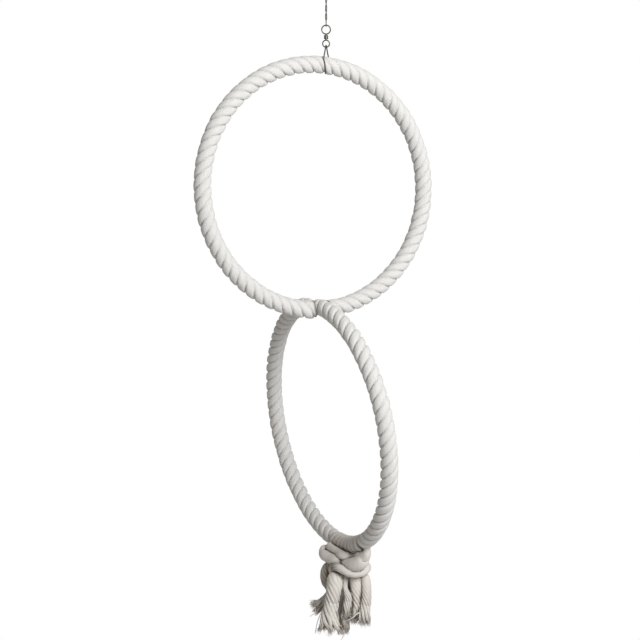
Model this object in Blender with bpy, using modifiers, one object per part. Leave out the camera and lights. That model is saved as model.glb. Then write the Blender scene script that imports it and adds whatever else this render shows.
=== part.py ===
"""Double rope ring bird toy: two laid-rope rings on linked steel hoops, hung from a wire swivel.

Metres, +Z up. The origin is the inside top of the hanger's loop, where a hook carries the toy.
"""
import itertools
import math

import bmesh
import bpy
from mathutils import Matrix, Vector

# Clearances
GAP = 0.0003                  # between pieces that touch
BORE_PLAY = 0.00036           # hoop wire to the bore of its rope
TUNNEL_PLAY = 0.0008          # upper hoop to its way through the lower rope
SADDLE_PLAY = 0.00065         # upper rope's ends to the lower rope
SEAT_PLAY = 0.00036           # sling in its seat, sleeves in their pockets, stems in the barrel
WINDING_PLAY = 0.0006         # wound strand to the lower hoop
WINDING_END_PLAY = 0.0015     # wound strand to the lower rope's ends
TURN_GAP = 0.0011             # between two turns of the wound strand
TWIST_GAP = 0.00042           # between the hanger's two twisted legs
SLING_PLAY = 0.00042          # sling's bend to the wire of the lower eye

# Rope of both rings
ROPE_RADIUS = 0.0100
GROOVE_DEPTH = 0.0021         # between two strands
LAY_LENGTH = 0.0382           # one full turn of a strand
STRANDS = 3
CROWN_SHARE = 0.38            # of a strand's width that lies at the rope's full radius
SECTIONS_PER_LAY = 7

# Rings and the steel hoops inside them
UPPER_RING_RADIUS = 0.1420    # to the rope's middle
LOWER_RING_RADIUS = 0.1450
HOOP_WIRE_RADIUS = 0.0015
HOOP_SEGMENTS = 48
SLEEVE_WALL = 0.0009
SLEEVE_LENGTH = 0.0160
SLEEVE_OFFSET = 0.0380        # along the ring, from the end of the rope
JOIN_OPENING = 0.0120         # between the upper rope's ends, along the ring

# How the rings hang
HANG_TURN = math.radians(4.7)     # sling, to the right of the upper ring's top
HANG_TILT = math.radians(2.5)     # upper ring, bottom towards the front
JOIN_TURN = math.radians(1.5)     # other ring, to the right of the upper ring's bottom
LOWER_LEAN = math.radians(7.8)    # lower ring, bottom to the right
LOWER_SWING = math.radians(7.2)   # lower ring, bottom to the back
LOWER_TURN = math.radians(1.4)    # lower ring, about the vertical
TASSEL_TURN = math.radians(-16.5)  # tassel, to the front of the lower ring's bottom
RING_RANGE = (math.radians(-10), math.radians(20))

# Tassel of three unlaid strands; the first is wound round the lower hoop between the rope's ends
STRAND_RADIUS = 0.0041
WINDING_START = math.radians(150)  # from the ring's inside towards +X, at the front end
WINDING_TURN = math.radians(2765)
STEPS_PER_TURN = 12                # each is halved once more
ROUTE_UNIT = STRAND_RADIUS / 4.1   # the routes are drawn in millimetres for a 4.1 mm strand

# Hand-drawn routes: x, y, z and radius, in the tassel's frame
ROUTE_1_BACK = [  # tail, under the knot, and up to the winding's back end
    (-6.6, -1.2, -97.0, 8.2), (-1.3, -3.0, -83.7, 6.4), (3.1, -4.9, -70.2, 5.3),
    (5.6, -6.4, -56.2, 5.3), (7.1, -5.7, -45.8, 4.8), (6.1, -1.0, -35.9, 2.7),
    (3.7, 2.2, -27.8, 2.6), (-0.7, 4.2, -21.2, 2.8), (-7.3, 0.6, -15.2, 3.6),
    (-12.0, 1.7, -11.1, 4.1), (-14.4, 9.4, -8.6, 4.3), (-15.1, 18.6, -6.0, 4.3),
    (-14.7, 27.2, -4.2, 4.1), (-12.0, 33.6, -3.2, 4.0), (-7.9, 35.9, -1.3, 3.9),
]
ROUTE_1_FRONT = [  # from the winding's front end, across the front, to its other tail
    (1.5, -37.9, -5.7, 3.9), (-0.5, -38.4, -11.3, 4.4), (-2.9, -33.3, -15.9, 5.8),
    (-5.4, -30.3, -18.7, 7.2), (-8.6, -25.4, -20.6, 8.0), (-11.4, -18.4, -21.2, 7.4),
    (-13.2, -10.3, -21.0, 5.2), (-12.5, -1.2, -20.7, 2.9), (-8.0, 5.5, -23.4, 2.6),
    (-5.5, 5.7, -31.2, 2.6), (-3.5, 0.4, -39.9, 4.8), (-4.2, -0.7, -48.1, 6.3),
    (-5.3, 1.2, -58.8, 6.4), (-6.6, 3.8, -70.8, 6.2), (-9.2, 7.5, -82.5, 5.4),
    (-14.4, 10.3, -92.3, 5.4),
]
ROUTE_2 = [  # tail, across the front to the left, round the back, and down to its other tail
    (-22.4, 8.5, -84.0, 4.5), (-19.8, 5.3, -72.4, 4.6), (-16.8, 1.3, -62.0, 3.6),
    (-15.6, 1.0, -52.0, 2.9), (-14.5, 3.6, -40.4, 3.2), (-12.8, 8.1, -32.0, 2.6),
    (-12.9, 10.8, -24.9, 3.0), (-18.5, 6.7, -18.2, 4.8), (-21.1, 16.5, -15.2, 6.0),
    (-23.6, 27.7, -11.3, 5.8), (-23.6, 37.3, -7.5, 4.6), (-17.8, 42.2, -4.2, 4.1),
    (-8.5, 45.6, -10.3, 3.6), (-3.6, 42.2, -18.4, 3.5), (-9.4, 38.6, -24.2, 3.7),
    (-18.7, 37.6, -26.8, 4.2), (-25.1, 36.4, -32.5, 4.6), (-27.4, 34.4, -42.2, 4.6),
    (-28.3, 34.0, -53.0, 4.6), (-36.4, 35.9, -63.3, 5.2), (-46.0, 38.5, -68.3, 6.0),
]
ROUTE_3 = [  # tail, up through the knot, round the right, along the knot's lower edge, and down
    (-42.4, 17.4, -97.7, 12.2), (-39.6, 14.6, -83.7, 11.6), (-36.6, 11.7, -69.8, 10.4),
    (-32.2, 9.3, -57.5, 9.4), (-27.9, 8.0, -46.4, 9.0), (-23.8, 9.2, -37.8, 7.0),
    (-13.4, 17.3, -31.8, 2.7), (-5.8, 17.9, -26.7, 2.7), (3.0, 13.7, -26.8, 3.0),
    (9.9, 5.4, -28.9, 4.0), (12.2, -5.2, -32.6, 3.5), (3.3, -13.0, -35.7, 3.8),
    (-6.4, -12.7, -35.7, 5.0), (-14.2, -7.9, -32.9, 4.8), (-19.7, -1.4, -28.1, 3.9),
    (-22.7, 6.1, -25.6, 3.0), (-23.1, 15.3, -26.7, 2.7), (-15.5, 25.6, -35.1, 2.9),
    (-6.5, 21.0, -49.0, 4.6), (-7.7, 20.9, -65.8, 5.2), (-15.5, 21.7, -82.1, 5.4),
    (-22.4, 22.3, -105.9, 5.4),
]

# Hanger wire, doubled and twisted
HANGER_WIRE_RADIUS = 0.00055
TOP_LOOP_RADIUS = 0.0054
BOTTOM_LOOP_RADIUS = 0.0024
SHANK_LENGTH = 0.0240
SHANK_TURNS = 1.25
NECK_LENGTH = 0.0015

# Swivel and sling
EYE_TURN = math.radians(-25.5)    # the eyes' plane, about the vertical
EYE_WIRE_RADIUS = 0.00075
UPPER_EYE_RADIUS = 0.00505
LOWER_EYE_RADIUS = 0.0040
BARREL_LENGTH = 0.0049
BARREL_RADIUS = 0.0025
BARREL_WALL = 0.0006
STEM_RADIUS = 0.00072
HEAD_RADIUS = 0.00150
HEAD_LENGTH = 0.0009
SLING_WIRE_RADIUS = 0.0008
SLING_RISE = 0.0129               # top of the sling above the rope
SLING_SKEW = 0.0072               # sling's legs, left and right of the point that it hangs on
SLING_BITE = 0.0012               # how deep it sinks into the rope
SLING_LEAVES = math.radians(52)   # where its legs leave the rope, from the rope's top

COTTON = ("cotton_rope", (0.86, 0.84, 0.80), 0.0, 0.90)
STRAND_COTTON = ("cotton_strand", (0.84, 0.82, 0.77), 0.0, 0.92)
BRIGHT_STEEL = ("bright_steel", (0.62, 0.62, 0.61), 1.0, 0.28)
DARK_WIRE = ("dark_wire", (0.28, 0.28, 0.27), 1.0, 0.40)
HOOP_STEEL = ("hoop_steel", (0.45, 0.45, 0.46), 1.0, 0.45)

X_AXIS = Vector((1, 0, 0))
Y_AXIS = Vector((0, 1, 0))
Z_AXIS = Vector((0, 0, 1))


def clear_scene():
    for obj in list(bpy.data.objects):
        bpy.data.objects.remove(obj, do_unlink=True)


def new_collection(name):
    collection = bpy.data.collections.new(name)
    bpy.context.scene.collection.children.link(collection)
    return collection


clear_scene()
PARTS = new_collection("double_rope_ring")
CUTTERS = new_collection("cutters")


def material(spec):
    name, colour, metallic, roughness = spec
    found = bpy.data.materials.get(name)
    if found:
        return found
    made = bpy.data.materials.new(name)
    made.use_nodes = True
    shader = made.node_tree.nodes["Principled BSDF"]
    shader.inputs["Base Color"].default_value = (*colour, 1.0)
    shader.inputs["Metallic"].default_value = metallic
    shader.inputs["Roughness"].default_value = roughness
    return made


def frame(name, matrix):
    """An empty that carries one moving body, with its origin on the joint's axis."""
    empty = bpy.data.objects.new(name, None)
    empty.matrix_world = matrix
    PARTS.objects.link(empty)
    return empty


def place(name, data, spec, parent):
    obj = bpy.data.objects.new(name, data)
    obj.data.materials.append(material(spec))
    obj.parent = parent
    PARTS.objects.link(obj)
    return obj


def cutter(name, mesh, matrix):
    obj = bpy.data.objects.new(name, mesh)
    obj.matrix_world = matrix
    obj.hide_render = True
    obj.display_type = "WIRE"
    CUTTERS.objects.link(obj)
    return obj


def cut(obj, tool, operation="DIFFERENCE", solver="EXACT"):
    modifier = obj.modifiers.new(tool.name, "BOOLEAN")
    modifier.operation = operation
    modifier.solver = solver
    modifier.object = tool


def smooth_route(points, steps, closed=False):
    """Points on a Catmull-Rom curve through the given ones."""
    count = len(points)
    spans = count if closed else count - 1
    route = []
    for span in range(spans):
        before, start, end, after = (
            points[(span + k) % count] if closed else points[min(max(span + k, 0), count - 1)]
            for k in (-1, 0, 1, 2)
        )
        for step in range(steps):
            t = step / steps
            bend = 2 * before - 5 * start + 4 * end - after
            twist = 3 * (start - end) + after - before
            route.append(start + 0.5 * t * ((end - before) + t * (bend + t * twist)))
    if not closed:
        route.append(points[-1])
    return route


def wire_curve(name, points, radius, closed=False, sides=6, radii=None):
    """A round wire along the points, as curve data."""
    curve = bpy.data.curves.new(name, "CURVE")
    curve.dimensions = "3D"
    curve.bevel_depth = radius
    curve.bevel_resolution = (sides - 4) // 2
    curve.use_fill_caps = not closed
    spline = curve.splines.new("POLY")
    spline.points.add(len(points) - 1)
    spline.use_cyclic_u = closed
    for index, (point, target) in enumerate(zip(points, spline.points)):
        target.co = (*point, 1.0)
        target.radius = radii[index] if radii else 1.0
    spline.use_smooth = True
    return curve


def mesh_from_curve(curve):
    """The curve's surface as a closed mesh, with its end caps welded on."""
    holder = bpy.data.objects.new(curve.name, curve)
    bpy.context.scene.collection.objects.link(holder)
    graph = bpy.context.evaluated_depsgraph_get()
    mesh = bpy.data.meshes.new_from_object(holder.evaluated_get(graph))
    bpy.data.objects.remove(holder, do_unlink=True)
    edit = bmesh.new()
    edit.from_mesh(mesh)
    bmesh.ops.remove_doubles(edit, verts=edit.verts, dist=1e-6)
    bmesh.ops.recalc_face_normals(edit, faces=edit.faces)
    edit.to_mesh(mesh)
    edit.free()
    return mesh


def smooth(mesh):
    mesh.shade_smooth()
    mesh.set_sharp_from_angle(angle=math.radians(50))
    return mesh


def cylinder_mesh(name, radius, length, sides):
    """A cylinder about Z, centred on its origin."""
    mesh = bpy.data.meshes.new(name)
    edit = bmesh.new()
    bmesh.ops.create_cone(edit, cap_ends=True, segments=sides, radius1=radius, radius2=radius, depth=length)
    edit.to_mesh(mesh)
    edit.free()
    return mesh


def box_mesh(name, size):
    mesh = bpy.data.meshes.new(name)
    edit = bmesh.new()
    bmesh.ops.create_cube(edit, size=1.0, matrix=Matrix.Diagonal((*size, 1.0)))
    edit.to_mesh(mesh)
    edit.free()
    return mesh


def arc_points(centre, radius, up, side, start, end, segments):
    """Points of an arc about the centre, with angles counted from up towards side."""
    points = []
    for index in range(segments + 1):
        angle = start + (end - start) * index / segments
        points.append(centre + radius * (math.cos(angle) * up + math.sin(angle) * side))
    return points


def ring_points(centre, radius, up, side):
    full = arc_points(centre, radius, up, side, 0, 2 * math.pi, HOOP_SEGMENTS)
    return full[:-1]


def rope_profile():
    """The rope's section: one lobe for each strand."""
    curve = bpy.data.curves.new("rope_section", "CURVE")
    curve.dimensions = "2D"
    spline = curve.splines.new("POLY")
    spline.use_cyclic_u = True
    lobe = 2 * math.pi / STRANDS
    crown = CROWN_SHARE * lobe / 2
    outline = []
    for strand in range(STRANDS):
        middle = strand * lobe
        outline.append((middle - crown, ROPE_RADIUS))
        outline.append((middle + crown, ROPE_RADIUS))
        outline.append((middle + lobe / 2, ROPE_RADIUS - GROOVE_DEPTH))
    spline.points.add(len(outline) - 1)
    for (angle, radius), target in zip(outline, spline.points):
        target.co = (radius * math.cos(angle), radius * math.sin(angle), 0.0, 1.0)
    holder = bpy.data.objects.new("rope_section", curve)
    bpy.context.scene.collection.objects.link(holder)
    return holder


def rope_mesh(name, centre, radius, up, side, start, end):
    """A three-strand rope along an arc: the lobed section, turned one full turn for each lay.

    The lay is eased a little so that both ends of the rope have their strands alike.
    """
    length = radius * (end - start)
    lays = round(STRANDS * length / LAY_LENGTH) / STRANDS
    segments = round(SECTIONS_PER_LAY * lays)
    points = arc_points(centre, radius, up, side, start, end, segments)
    section = rope_profile()
    curve = bpy.data.curves.new(name, "CURVE")
    curve.dimensions = "3D"
    curve.bevel_mode = "OBJECT"
    curve.bevel_object = section
    curve.use_fill_caps = True
    spline = curve.splines.new("POLY")
    spline.points.add(len(points) - 1)
    for index, (point, target) in enumerate(zip(points, spline.points)):
        target.co = (*point, 1.0)
        target.tilt = -2 * math.pi * lays * index / segments
    mesh = mesh_from_curve(curve)
    bpy.data.objects.remove(section, do_unlink=True)
    return mesh


# Heights of the hanger and swivel, from the hook down
top_loop_z = HANGER_WIRE_RADIUS - TOP_LOOP_RADIUS
shank_top_z = top_loop_z - TOP_LOOP_RADIUS - NECK_LENGTH
shank_bottom_z = shank_top_z - SHANK_LENGTH
bottom_loop_z = shank_bottom_z - NECK_LENGTH - BOTTOM_LOOP_RADIUS
hanger_seat_z = bottom_loop_z - BOTTOM_LOOP_RADIUS
upper_eye_z = hanger_seat_z + HANGER_WIRE_RADIUS + GAP + EYE_WIRE_RADIUS - UPPER_EYE_RADIUS
barrel_z = upper_eye_z - UPPER_EYE_RADIUS - EYE_WIRE_RADIUS - GAP - BARREL_LENGTH / 2
lower_eye_z = barrel_z - BARREL_LENGTH / 2 - GAP - EYE_WIRE_RADIUS - LOWER_EYE_RADIUS
sling_pivot_z = lower_eye_z - LOWER_EYE_RADIUS

# Frames of the moving bodies
eye_matrix = Matrix.Rotation(EYE_TURN, 4, "Z")
eye_right = eye_matrix @ X_AXIS
eye_back = eye_matrix @ Y_AXIS
sling_matrix = Matrix.Translation((0, 0, sling_pivot_z)) @ Matrix.Rotation(-HANG_TILT, 4, eye_right)

# The upper ring, in the sling's frame
sling_bend = EYE_WIRE_RADIUS + SLING_WIRE_RADIUS + SLING_PLAY
hang_point = Vector((0, 0, sling_bend - SLING_RISE - ROPE_RADIUS))
hang_up = Vector((math.sin(HANG_TURN), 0, math.cos(HANG_TURN)))
hang_side = Vector((math.cos(HANG_TURN), 0, -math.sin(HANG_TURN)))
upper_centre = hang_point - UPPER_RING_RADIUS * hang_up
join_down = Vector((math.sin(JOIN_TURN), 0, -math.cos(JOIN_TURN)))
join_side = Vector((math.cos(JOIN_TURN), 0, math.sin(JOIN_TURN)))
link_offset = 2 * HOOP_WIRE_RADIUS + GAP
link_point = upper_centre + (UPPER_RING_RADIUS - link_offset) * join_down

# The lower ring's frame: Y along its rope where the rings meet, Z away from its middle
lower_turn = Matrix.Rotation(LOWER_TURN, 4, "Z") @ Matrix.Rotation(-LOWER_LEAN, 4, "Y")
lower_turn = lower_turn @ Matrix.Rotation(LOWER_SWING, 4, "X")
lower_matrix = sling_matrix @ Matrix.Translation(link_point) @ lower_turn
lower_centre = Vector((0, 0, -LOWER_RING_RADIUS))

# The tassel's frame: Y along the lower ring's rope, its origin midway in the height of the wound arc
winding_length = (2 * STRAND_RADIUS + TURN_GAP) * WINDING_TURN / (2 * math.pi)
winding_radius = HOOP_WIRE_RADIUS + WINDING_PLAY + STRAND_RADIUS
winding_rise = (winding_length / 2) ** 2 / (2 * LOWER_RING_RADIUS)
tassel_turn = Matrix.Rotation(TASSEL_TURN, 4, "X")
tassel_down = tassel_turn.to_3x3() @ -Z_AXIS
tassel_side = tassel_turn.to_3x3() @ Y_AXIS
tassel_drop = Matrix.Translation((0, 0, winding_rise / 2 - LOWER_RING_RADIUS))
tassel_matrix = lower_matrix @ Matrix.Translation(lower_centre) @ tassel_turn @ tassel_drop


def hanger_points():
    """One closed wire: top loop, a leg of the twist, bottom loop, and the other leg."""
    spread = HANGER_WIRE_RADIUS + TWIST_GAP / 2
    leg_steps = round(5 * SHANK_TURNS)

    def leg(phase, upward):
        points = []
        for index in range(leg_steps + 1):
            share = index / leg_steps
            angle = phase + 2 * math.pi * SHANK_TURNS * share
            point = spread * (math.cos(angle) * eye_right + math.sin(angle) * eye_back)
            points.append(point + (shank_top_z - SHANK_LENGTH * share) * Z_AXIS)
        return points[::-1] if upward else points

    def loop(height, radius, side, first, last):
        centre = height * Z_AXIS
        return arc_points(centre, radius, Z_AXIS, side, math.radians(first), math.radians(last), 6)

    top = loop(top_loop_z, TOP_LOOP_RADIUS, eye_right, -140, 140)
    bottom = loop(bottom_loop_z, BOTTOM_LOOP_RADIUS, eye_back, 45, 315)
    return top + leg(0, False) + bottom + leg(math.pi, True)


def make_hanger(parent):
    route = smooth_route(hanger_points(), 2, closed=True)
    curve = wire_curve("hanger_wire", route, HANGER_WIRE_RADIUS, closed=True)
    place("hanger_wire", curve, DARK_WIRE, parent)


def turned_mesh(name, profile, closed):
    """A profile of (radius, height) points in the XZ plane, as edges for a Screw modifier."""
    mesh = bpy.data.meshes.new(name)
    edit = bmesh.new()
    verts = [edit.verts.new((radius, 0, height)) for radius, height in profile]
    for first, second in zip(verts, verts[1:]):
        edit.edges.new((first, second))
    if closed:
        edit.edges.new((verts[-1], verts[0]))
    edit.to_mesh(mesh)
    edit.free()
    return mesh


def turn(obj, steps):
    screw = obj.modifiers.new("turned", "SCREW")
    screw.steps = steps
    screw.render_steps = steps
    screw.use_merge_vertices = True
    screw.merge_threshold = 1e-6


def make_eye(name, eye_radius, height, head_z, parent):
    """A wire eye with a stem that ends in a head inside the barrel; head_z is the head's middle."""
    height -= parent.location.z
    head_z -= parent.location.z
    ring = arc_points(height * Z_AXIS, eye_radius, Z_AXIS, X_AXIS, 0, 2 * math.pi, 24)[:-1]
    mesh = mesh_from_curve(wire_curve(name, ring, EYE_WIRE_RADIUS, closed=True, sides=8))
    eye = place(name, smooth(mesh), BRIGHT_STEEL, parent)
    root = height + math.copysign(eye_radius, head_z - height)
    near = head_z - math.copysign(HEAD_LENGTH / 2, head_z - height)
    far = head_z + math.copysign(HEAD_LENGTH / 2, head_z - height)
    profile = [
        (0, root), (STEM_RADIUS, root), (STEM_RADIUS, near),
        (HEAD_RADIUS, near), (HEAD_RADIUS, far), (0, far),
    ]
    if root < far:
        profile.reverse()
    stem = cutter(name + "_stem", turned_mesh(name + "_stem", profile, False), parent.matrix_world)
    turn(stem, 12)
    cut(eye, stem, "UNION")


def make_barrel(parent):
    """A hollow barrel whose drawn-in ends hold both heads."""
    half = BARREL_LENGTH / 2
    hole = STEM_RADIUS + SEAT_PLAY
    cavity = HEAD_RADIUS + SEAT_PLAY
    mouth = (hole + BARREL_RADIUS) / 2
    inner = half - BARREL_WALL
    profile = [
        (mouth, half), (BARREL_RADIUS, inner), (BARREL_RADIUS, -inner), (mouth, -half), (hole, -half),
        (hole, -inner), (cavity, -inner), (cavity, inner), (hole, inner), (hole, half),
    ]
    lift = barrel_z - parent.location.z
    mesh = turned_mesh("swivel_barrel", [(radius, height + lift) for radius, height in profile], True)
    turn(place("swivel_barrel", mesh, BRIGHT_STEEL, parent), 16)


def sling_points():
    """The sling in its own frame: a bend over the eye's wire and an aslant turn round the rope."""
    grip = ROPE_RADIUS + SLING_WIRE_RADIUS - SLING_BITE
    turn_round = []
    steps = 6
    for step in range(steps + 1):
        share = step / steps
        around = SLING_LEAVES + (2 * math.pi - 2 * SLING_LEAVES) * share
        sideways = -SLING_SKEW * math.cos(math.pi * share) * hang_side
        outward = math.cos(around) * hang_up - math.sin(around) * Y_AXIS
        turn_round.append(hang_point + sideways + grip * outward)
    across = turn_round[-1] - turn_round[0]
    across.z = 0
    across.normalize()
    bend = arc_points(Vector(), sling_bend, Z_AXIS, across, math.radians(95), math.radians(-95), 6)
    up_leg = [turn_round[-1].lerp(bend[0], share) for share in (0.5, 0.82)]
    down_leg = [bend[-1].lerp(turn_round[0], share) for share in (0.18, 0.5)]
    return turn_round + up_leg + bend + down_leg


def make_sling(parent):
    route = smooth_route(sling_points(), 3, closed=True)
    curve = wire_curve("sling_wire", route, SLING_WIRE_RADIUS, closed=True)
    place("sling_wire", curve, BRIGHT_STEEL, parent)
    seat = mesh_from_curve(wire_curve("sling_seat", route, SLING_WIRE_RADIUS + SEAT_PLAY, closed=True))
    return cutter("sling_seat", seat, parent.matrix_world)


def make_hoop(prefix, centre, radius, up, side, parent):
    """A steel hoop whose ends meet in a crimped sleeve at up; returns the cutters for its rope."""
    half_end = GAP / radius
    half_sleeve = SLEEVE_LENGTH / 2 / radius
    arc = arc_points(centre, radius, up, side, half_end, 2 * math.pi - half_end, HOOP_SEGMENTS)
    place(prefix + "_hoop", wire_curve(prefix + "_hoop", arc, HOOP_WIRE_RADIUS), HOOP_STEEL, parent)

    bore_radius = HOOP_WIRE_RADIUS + BORE_PLAY
    ring = ring_points(centre, radius, up, side)
    bore = mesh_from_curve(wire_curve(prefix + "_bore", ring, bore_radius, closed=True))
    bore = cutter(prefix + "_bore", bore, parent.matrix_world)

    sleeve_radius = bore_radius + SLEEVE_WALL
    span = arc_points(centre, radius, up, side, -half_sleeve, half_sleeve, 4)
    mesh = mesh_from_curve(wire_curve(prefix + "_hoop_sleeve", span, sleeve_radius, sides=10))
    sleeve = place(prefix + "_hoop_sleeve", mesh, HOOP_STEEL, parent)
    cut(sleeve, bore)

    half_pocket = half_sleeve + GAP / radius
    span = arc_points(centre, radius, up, side, -half_pocket, half_pocket, 4)
    pocket = mesh_from_curve(wire_curve(prefix + "_pocket", span, sleeve_radius + SEAT_PLAY, sides=10))
    return [bore, cutter(prefix + "_pocket", pocket, parent.matrix_world)]


def make_upper_ring(parent, sling_seat, saddle):
    """The upper rope starts and ends at the other ring, with both ends cut to sit round its rope."""
    turn_to_sleeve = Matrix.Rotation(-SLEEVE_OFFSET / UPPER_RING_RADIUS, 3, "Y")
    tools = make_hoop("upper", upper_centre, UPPER_RING_RADIUS, turn_to_sleeve @ join_down,
                      turn_to_sleeve @ join_side, parent)
    half_opening = JOIN_OPENING / 2 / UPPER_RING_RADIUS
    mesh = rope_mesh("upper_rope", upper_centre, UPPER_RING_RADIUS, join_down, join_side,
                     half_opening, 2 * math.pi - half_opening)
    rope = place("upper_rope", smooth(mesh), COTTON, parent)
    for tool in tools + [saddle, sling_seat]:
        cut(rope, tool, solver="MANIFOLD")


def upper_hoop_ways():
    """Where the upper hoop passes through the lower rope, over the range that the rings rock."""
    side = 2 * (HOOP_WIRE_RADIUS + TUNNEL_PLAY)
    size = (2.6 * ROPE_RADIUS, side, side)
    steps = 4
    join_turn = Matrix.Rotation(-JOIN_TURN, 4, "Y") @ Matrix.Translation((0, 0, -link_offset))
    at_rest = sling_matrix @ Matrix.Translation(link_point) @ join_turn
    ways = []
    for step in range(steps):
        angle = RING_RANGE[0] + (RING_RANGE[1] - RING_RANGE[0]) * step / (steps - 1)
        rocked = lower_matrix @ Matrix.Rotation(-angle, 4, "Y") @ lower_matrix.inverted() @ at_rest
        ways.append(cutter("hoop_way_%d" % (step + 1), box_mesh("hoop_way", size), rocked))
    return ways


def make_lower_ring(parent):
    """The lower rope runs on where the rings meet and leaves its hoop bare for the wound strand."""
    half_opening = (winding_length / 2 + STRAND_RADIUS + WINDING_END_PLAY) / LOWER_RING_RADIUS
    turn_to_sleeve = Matrix.Rotation(half_opening + SLEEVE_OFFSET / LOWER_RING_RADIUS, 3, "X")
    tools = make_hoop("lower", lower_centre, LOWER_RING_RADIUS, turn_to_sleeve @ tassel_down,
                      turn_to_sleeve @ tassel_side, parent)
    mesh = rope_mesh("lower_rope", lower_centre, LOWER_RING_RADIUS, tassel_down, tassel_side,
                     half_opening, 2 * math.pi - half_opening)
    rope = place("lower_rope", smooth(mesh), COTTON, parent)
    for tool in tools + upper_hoop_ways():
        cut(rope, tool, solver="MANIFOLD")


def winding_points():
    """The wound part of the first strand, from its front end to its back end."""
    ring_centre = Vector((0, 0, LOWER_RING_RADIUS - winding_rise / 2))
    steps = round(STEPS_PER_TURN * WINDING_TURN / (2 * math.pi))
    points = []
    for step in range(steps + 1):
        share = step / steps
        along = (share - 0.5) * winding_length / LOWER_RING_RADIUS
        around = WINDING_START - WINDING_TURN * share
        inward = Vector((0, -math.sin(along), math.cos(along)))
        offset = winding_radius * (math.cos(around) * inward + math.sin(around) * X_AXIS)
        points.append(ring_centre - LOWER_RING_RADIUS * inward + offset)
    return points


def own_gap(route):
    """The least gap of a strand to itself, between points that aren't neighbours along it."""
    along = [0.0]
    for before, after in zip(route, route[1:]):
        along.append(along[-1] + (after.xyz - before.xyz).length)
    gaps = []
    for (first, start), (second, end) in itertools.combinations(zip(route, along), 2):
        if end - start > 3 * (first.w + second.w):
            gaps.append((second.xyz - first.xyz).length - first.w - second.w)
    return min(gaps)


def make_strand(name, points, radii, parent):
    """A strand along the points; each point's radius is worked in as a fourth coordinate."""
    route = smooth_route([Vector((*point, radius)) for point, radius in zip(points, radii)], 2)
    strand_radii = [point.w / STRAND_RADIUS for point in route]
    curve = wire_curve(name, [point.xyz for point in route], STRAND_RADIUS, radii=strand_radii)
    place(name, curve, STRAND_COTTON, parent)
    print(name, "least gap to itself: %.2f mm" % (1000 * own_gap(route)))


def drawn(route):
    """Points and radii of a hand-drawn route, in metres."""
    points = [ROUTE_UNIT * Vector(row[:3]) for row in route]
    radii = [ROUTE_UNIT * row[3] for row in route]
    return points, radii


def make_tassel(parent):
    back_points, back_radii = drawn(ROUTE_1_BACK)
    front_points, front_radii = drawn(ROUTE_1_FRONT)
    wound = winding_points()[::-1]
    points = back_points + wound + front_points
    radii = back_radii + [STRAND_RADIUS] * len(wound) + front_radii
    make_strand("tassel_strand_1", points, radii, parent)
    make_strand("tassel_strand_2", *drawn(ROUTE_2), parent)
    make_strand("tassel_strand_3", *drawn(ROUTE_3), parent)


hanger = frame("hanger", Matrix.Identity(4))
upper_swivel = frame("upper_swivel", Matrix.Translation((0, 0, hanger_seat_z)) @ eye_matrix)
lower_swivel = frame("lower_swivel", Matrix.Translation((0, 0, barrel_z)) @ eye_matrix)
upper_ring = frame("upper_ring", sling_matrix)
lower_ring = frame("lower_ring", lower_matrix)
tassel = frame("tassel", tassel_matrix)
bpy.context.view_layer.update()

make_hanger(hanger)
head_shift = BARREL_LENGTH / 2 - BARREL_WALL - GAP - HEAD_LENGTH / 2
make_eye("swivel_upper_eye", UPPER_EYE_RADIUS, upper_eye_z, barrel_z + head_shift, upper_swivel)
make_barrel(upper_swivel)
make_eye("swivel_lower_eye", LOWER_EYE_RADIUS, lower_eye_z, barrel_z - head_shift, lower_swivel)
seat_tool = make_sling(upper_ring)
saddle_mesh = cylinder_mesh("saddle", ROPE_RADIUS + SADDLE_PLAY, 4 * ROPE_RADIUS, 32)
saddle_tool = cutter("saddle", saddle_mesh, lower_matrix @ Matrix.Rotation(math.radians(90), 4, "X"))
make_upper_ring(upper_ring, seat_tool, saddle_tool)
make_lower_ring(lower_ring)
make_tassel(tassel)
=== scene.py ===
"""Double rope ring bird toy: its looks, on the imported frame, with the camera and the light."""
import math
from collections import namedtuple

import bpy
import numpy as np
from mathutils import Matrix, Vector
from mathutils.bvhtree import BVHTree


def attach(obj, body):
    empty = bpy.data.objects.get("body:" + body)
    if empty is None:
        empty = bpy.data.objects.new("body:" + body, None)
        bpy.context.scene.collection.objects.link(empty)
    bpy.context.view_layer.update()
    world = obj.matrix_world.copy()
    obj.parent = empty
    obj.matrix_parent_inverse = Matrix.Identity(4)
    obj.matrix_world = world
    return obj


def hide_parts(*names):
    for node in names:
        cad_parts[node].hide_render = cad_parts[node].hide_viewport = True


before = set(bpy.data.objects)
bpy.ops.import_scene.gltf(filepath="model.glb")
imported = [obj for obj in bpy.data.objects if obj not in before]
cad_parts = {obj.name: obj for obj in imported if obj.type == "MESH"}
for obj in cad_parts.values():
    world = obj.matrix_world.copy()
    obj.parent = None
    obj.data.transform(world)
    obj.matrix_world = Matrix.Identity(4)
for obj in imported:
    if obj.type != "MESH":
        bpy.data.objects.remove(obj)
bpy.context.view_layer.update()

# Sizes and angles of the frame, in metres and radians
ROPE_RADIUS = 0.0100
LAY_LENGTH = 0.0382
STRANDS = 3
UPPER_RING_RADIUS = 0.1420
LOWER_RING_RADIUS = 0.1450
END_GAP = 0.0075             # least distance of the upper rope's ends to the middle of the other rope
LINK_OFFSET = 0.0033         # from the upper ring's circle in to the point where the hoops link
SLING_PIVOT_Z = -0.06555
HANG_POINT_Z = -0.02093      # point of the upper ring's circle that hangs below the sling's pivot
HANG_TURN = math.radians(4.7)
HANG_TILT = math.radians(2.5)
JOIN_TURN = math.radians(1.5)
LOWER_LEAN = math.radians(7.8)
LOWER_SWING = math.radians(7.2)
LOWER_TURN = math.radians(1.4)
TASSEL_TURN = math.radians(-16.5)
EYE_TURN = math.radians(-25.5)
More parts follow.
